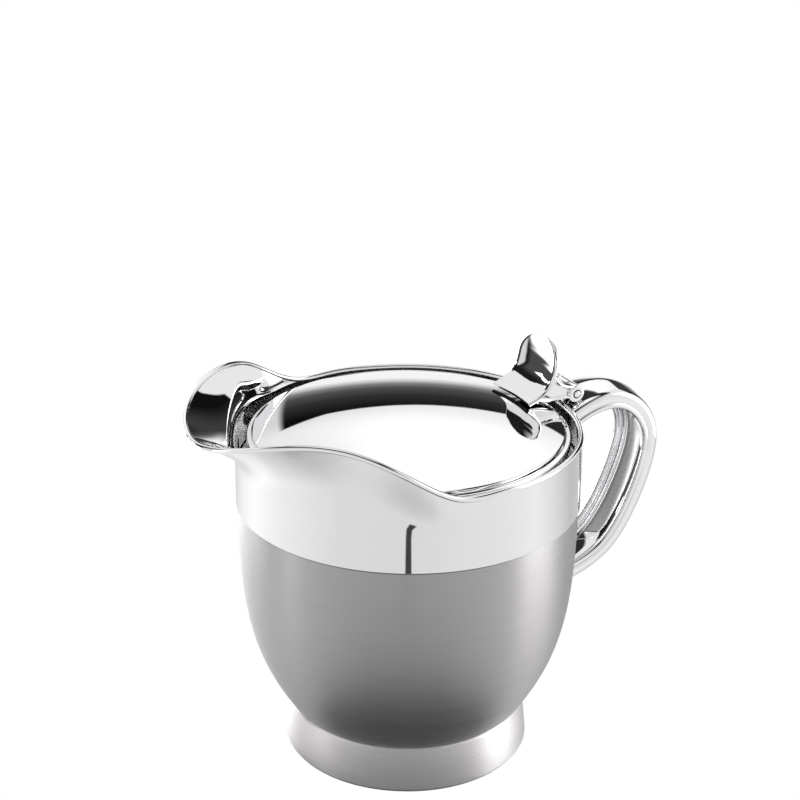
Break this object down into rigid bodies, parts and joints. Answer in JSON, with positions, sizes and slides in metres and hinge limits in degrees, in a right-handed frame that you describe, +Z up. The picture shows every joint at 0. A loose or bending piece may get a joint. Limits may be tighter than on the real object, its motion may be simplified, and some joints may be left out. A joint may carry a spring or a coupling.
{
  "type": "lidded cream jug",
  "caption": "Lidded cream jug in satin and polished steel with a flared pouring spout, foot ring, channel-section handle and a hinged domed lid opened by a thumb lever.",
  "frame": {"origin": "middle of the whole length and width, at the height of the surface the foot ring stands on", "axes": "+Z up, +X towards the handle, -X towards the spout; XZ is the plane of symmetry"},
  "size_m": [0.1352, 0.0884, 0.1055],
  "materials": {
    "foot_satin": "fine satin",
    "base_satin": "turned satin",
    "body_satin": "satin, brushed around the body",
    "vessel_satin": "satin",
    "collar_polished": "mirror polished",
    "handle_polished": "mirror polished",
    "hinge_polished": "polished",
    "lid_polished": "mirror polished",
    "lever_polished": "mirror polished"
  },
  "bodies": {
    "jug": {"foot_ring": "foot_satin", "base_plate": "base_satin", "outer_body": "body_satin", "inner_vessel": "vessel_satin", "collar": "collar_polished", "handle": "handle_polished", "handle_lower_pad": "handle_polished", "hinge_bracket": "hinge_polished", "hinge_pin": "hinge_polished"},
    "lid": {"lid_dome": "lid_polished", "lid_pan": "vessel_satin", "thumb_lever": "lever_polished", "lever_stud_left": "lever_polished", "lever_stud_right": "lever_polished"}
  },
  "joints": [
    {"name": "lid_hinge", "type": "hinge", "parent": "jug", "child": "lid", "pos_m": [0.03935, 0, 0.0896], "axis": [0, 1, 0], "range_deg": [0, 80]}
  ]
}
